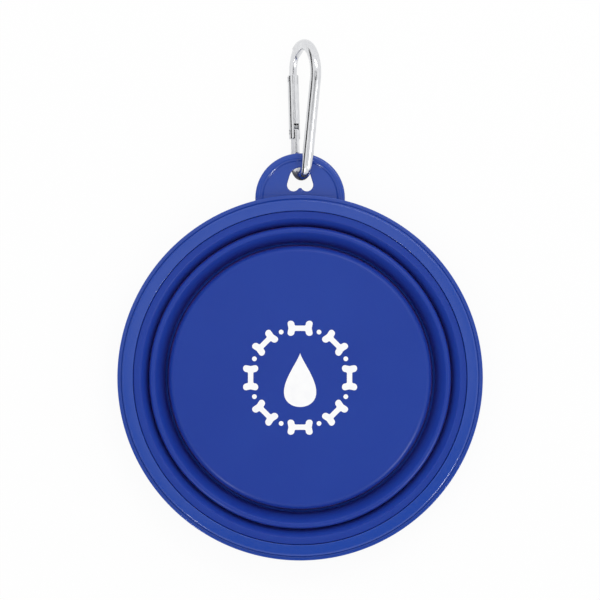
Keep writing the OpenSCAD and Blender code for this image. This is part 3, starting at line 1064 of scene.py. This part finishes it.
taper_deg = math.degrees(taper)
limb_down = limb_turn @ Vector((0, -1, 0))
spine_up = Vector((math.sin(taper), math.cos(taper), 0))
flat_from = HINGE_AT - TANG_L - TANG_PRESS_L / 2
loop, _ = drawn_on(rod, rod.edges[:], limb_down * (TANG_L + TANG_END_W / 2 - TANG_PRESS_L / 2))
for _ in range(TANG_STEPS):
    loop, _ = drawn_on(rod, loop, limb_down * TANG_PRESS_L / TANG_STEPS)
loop, _ = drawn_on(rod, loop, limb_down * flat_from)
loop = bend(rod, loop, (0, 0, 0), 180 - 2 * taper_deg, BEND_STEPS)
loop, _ = drawn_on(rod, loop, spine_up * limb_l)
loop = bend(rod, loop, wide_centre, 180 + 2 * taper_deg, BEND_STEPS)
print("taper of the clip, degrees:", round(taper_deg, 1))

# %% Press its ends flat
TANG_T = 1.6
TANG_W = 3.4
PIN_R = 0.8
LATCH_GAP = 0.15
LATCH_IN = 1.7
HOOK_T = 0.75
NOSE_DEG = 146
NOSE_END_DEG = 270
PRESS_DEG = 20
NEAR_SHARE = 1.1

latch_at = limb_l - LATCH_IN
nose_low = latch_at - PIN_R - LATCH_GAP - HOOK_T
near_rod = NEAR_SHARE * ROD_R


def pressed_flat(vert, share, out_from_middle, width):
    """Moves a point of the round rod to where a flat press leaves it, by a share from 0 to 1."""
    share = share * share * (3 - 2 * share)
    half = ROD_R + (TANG_T / 2 - ROD_R) * share
    vert.co += out_from_middle * (width / 2 / ROD_R - 1) * share
    vert.co.z = max(-half, min(half, vert.co.z))


to_limb = limb_start.inverted()
for vert in rod.verts:
    on_stub = to_limb @ vert.co
    arm = Vector((*(vert.co - wide_centre).xy, 0))
    turn_deg = math.degrees(math.atan2(arm.y, arm.x)) % 360
    if abs(on_stub.x) < near_rod and flat_from < on_stub.y < HINGE_AT + TANG_END_W:
        share = min((on_stub.y - flat_from) / TANG_PRESS_L, 1)
        width = TANG_END_W if on_stub.x > 0 else TANG_W
        pressed_flat(vert, share, limb_turn @ Vector((on_stub.x, 0, 0)), width)
    elif arm.length < WIDE_R + near_rod and NOSE_DEG - PRESS_DEG < turn_deg < NOSE_END_DEG:
        share = min((turn_deg - NOSE_DEG + PRESS_DEG) / PRESS_DEG, 1)
        pressed_flat(vert, share, arm * (1 - WIDE_R / arm.length), TANG_W)

drawn_on(rod, loop, limb_down * (limb_l - nose_low))
bmesh.ops.holes_fill(rod, edges=[e for e in rod.edges if e.is_boundary])
bmesh.ops.recalc_face_normals(rod, faces=rod.faces[:])
print("rod faces:", len(rod.faces))

# %% Cut the tang's end, the pin's bore and the notch
TANG_STEP_DEG = 26
PIN_RUN = 0.05
BORE_L = 12


def cross_bore(at, radius):
    """A cylinder across the gate limb, for a pin."""
    half = BORE_L / 2
    bm = turned([(0, -half, 0), (radius, -half, 0), (radius, half, 0), (0, half, 0)], steps=ROD_SIDES)
    bmesh.ops.translate(bm, vec=(0, at, 0), verts=bm.verts[:])
    return bm


def on_limb(bm):
    """A shape drawn on the gate limb, put into the clip's plane."""
    bmesh.ops.transform(bm, matrix=limb_start, verts=bm.verts[:])
    return bm


tang_step = HINGE_AT + TANG_W / 2 * math.sin(math.radians(TANG_STEP_DEG))
tang_corners = slab([
    *arc((0, HINGE_AT), TANG_W / 2, 180, TANG_STEP_DEG),
    (TANG_END_W, tang_step, 0),
    (TANG_END_W, HINGE_AT + TANG_END_W, 0),
    (-TANG_END_W, HINGE_AT + TANG_END_W, 0),
    (-TANG_END_W, HINGE_AT, 0),
], -TANG_T, TANG_T)
notch_r = PIN_R + LATCH_GAP
notch = slab([
    *arc((0, latch_at), notch_r, 90, 270),
    (TANG_W, latch_at - notch_r, 0),
    (TANG_W, latch_at + notch_r, 0),
], -TANG_T, TANG_T)
rod = combined(rod, on_limb(tang_corners))
rod = combined(rod, on_limb(cross_bore(HINGE_AT, PIN_R + PIN_RUN)))
rod = combined(rod, on_limb(notch))
make_piece("clip_rod", rod, aluminium, "clip", ["clip_frame"], clip_place)

# %% [markdown]
# ## Gate
# The gate is a short rod that is slotted at both ends: the lower slot straddles the tang, the upper one
# the hooked nose. The upper slot is closed on the gate's inner side. The gate's lower end is rounded so
# that it can swing, and a bore from the lower slot holds the spring and plunger.

# %% Make the gate
GATE_END_R = 2.55
GATE_END_FLAT = 0.01
GATE_GAP = 0.2
GATE_CLEAR = 4
PIN_FIT = 0.02
SLOT_W = 1.9
SLOT_REACH = 3.0
COIL_SHOWN = 0.65
HOOK_GAP = 0.4
NOSE_GAP = 0.05
SPRING_BORE_R = 0.9
SPRING_TURNS = 8
SPRING_PITCH = 0.75
WIRE_R = 0.15
PLUNGER_GAP = 0.05

gate_low = HINGE_AT - GATE_END_R
gate_top = limb_l - GATE_GAP
lie_along = Matrix.Rotation(-math.pi / 2, 4, "X")


def turned_along(corners, steps=ROD_SIDES):
    """A shape turned about the gate limb, from an outline of (radius, place along it, rounding)."""
    bm = turned(corners, steps=steps)
    bmesh.ops.transform(bm, matrix=lie_along, verts=bm.verts[:])
    return bm


def slot_cutter(low, high, inside=GATE_CLEAR):
    """A plate-shaped cutter for a slot in the gate, from its outer side to a place on its inner side."""
    corners = [(-GATE_CLEAR, low, 0), (inside, low, 0), (inside, high, 0), (-GATE_CLEAR, high, 0)]
    return slab(corners, -SLOT_W / 2, SLOT_W / 2)


spring_from = HINGE_AT + SLOT_REACH - COIL_SHOWN
spring_l = SPRING_TURNS * SPRING_PITCH + 2 * WIRE_R
gate = turned_along([(0, gate_low, 0), (ROD_R, gate_low, 0), (ROD_R, gate_top, EASED_R), (0, gate_top, 0)])
gate = combined(gate, slab([
    (-GATE_END_R, gate_top + CUT_SPARE, 0),
    (GATE_END_R, gate_top + CUT_SPARE, 0),
    (GATE_END_R, gate_low, GATE_END_R - GATE_END_FLAT),
    (-GATE_END_R, gate_low, GATE_END_R - GATE_END_FLAT),
], -GATE_CLEAR, GATE_CLEAR), "INTERSECT")
gate = combined(gate, slot_cutter(gate_low - 2 * CUT_SPARE, HINGE_AT + SLOT_REACH))
gate = combined(gate, slot_cutter(nose_low - HOOK_GAP, gate_top + 2 * CUT_SPARE, TANG_W / 2 + NOSE_GAP))
gate = combined(gate, cross_bore(HINGE_AT, PIN_R + PIN_FIT))
gate = combined(gate, cross_bore(latch_at, PIN_R + PIN_FIT))
bore_end = spring_from + spring_l + PLUNGER_GAP
gate = combined(gate, turned_along([
    (0, HINGE_AT, 0), (SPRING_BORE_R, HINGE_AT, 0), (SPRING_BORE_R, bore_end, 0), (0, bore_end, 0),
]))
make_piece("clip_gate_rod", gate, aluminium, "gate", ["clip_gate"], gate_place)

# %% [markdown]
# ## Pins, spring and plunger
# Two rivets with lightly domed ends go through the gate. The spring is a wire circle carried round a
# screw path, which bmesh's spin does when it is given a step along its axis as well. Its first turns lie
# close together, as on any push spring, and with the near-black wire they are painted shade: a dark spot
# at the end of the gate's slot. The plunger between the spring and the tang's round end has a domed tip.

# %% Make the pins
PIN_L = 3.8
PIN_SIDES = 48

for name, at, node in (
    ("hinge_rivet", HINGE_AT, "gate_hinge_pin"),
    ("latch_rivet", latch_at, "gate_latch_pin"),
):
    rivet = turned([
        (0, -PIN_L / 2, 0), (PIN_R, -PIN_L / 2, EASED_R), (PIN_R, PIN_L / 2, EASED_R), (0, PIN_L / 2, 0),
    ], steps=PIN_SIDES)
    bmesh.ops.translate(rivet, vec=(0, at, 0), verts=rivet.verts[:])
    make_piece(name, rivet, steel, "gate", [node], gate_place)

# %% Make the spring and the plunger
SPRING_R = 0.86
PLUNGER_R = 0.7
WIRE_SIDES = 12
STEPS_A_TURN = 32
# The close first turns put dark wire at the slot's end, as painted shade.
CLOSED_TURNS = 3
CLOSED_PITCH = 0.31

spring = bmesh.new()
wire_start = Matrix.Translation((SPRING_R - WIRE_R, 0, spring_from + WIRE_R)) @ axis_along_y
bmesh.ops.create_circle(spring, cap_ends=False, radius=WIRE_R, segments=WIRE_SIDES, matrix=wire_start)
loop = spring.edges[:]
open_turns = SPRING_TURNS - CLOSED_TURNS
open_pitch = (SPRING_TURNS * SPRING_PITCH - CLOSED_TURNS * CLOSED_PITCH) / open_turns
for turns, pitch in ((CLOSED_TURNS, CLOSED_PITCH), (open_turns, open_pitch)):
    loop = bend(spring, loop, (0, 0, 0), 360 * turns, turns * STEPS_A_TURN, pitch / STEPS_A_TURN)
bmesh.ops.holes_fill(spring, edges=[e for e in spring.edges if e.is_boundary])
bmesh.ops.recalc_face_normals(spring, faces=spring.faces[:])
bmesh.ops.transform(spring, matrix=lie_along, verts=spring.verts[:])
make_piece("gate_coil", spring, music_wire, "gate", ["gate_spring"], gate_place)

plunger_low = HINGE_AT + TANG_W / 2 + PLUNGER_GAP
plunger_top = spring_from - PLUNGER_GAP
plunger = turned_along([
    (0, plunger_low, 0),
    (PLUNGER_R, plunger_low, EDGE_R),
    (PLUNGER_R, plunger_top, HAIR_R),
    (0, plunger_top, 0),
], steps=PIN_SIDES)
make_piece("coil_plunger", plunger, steel, "gate", ["spring_plunger"], gate_place)
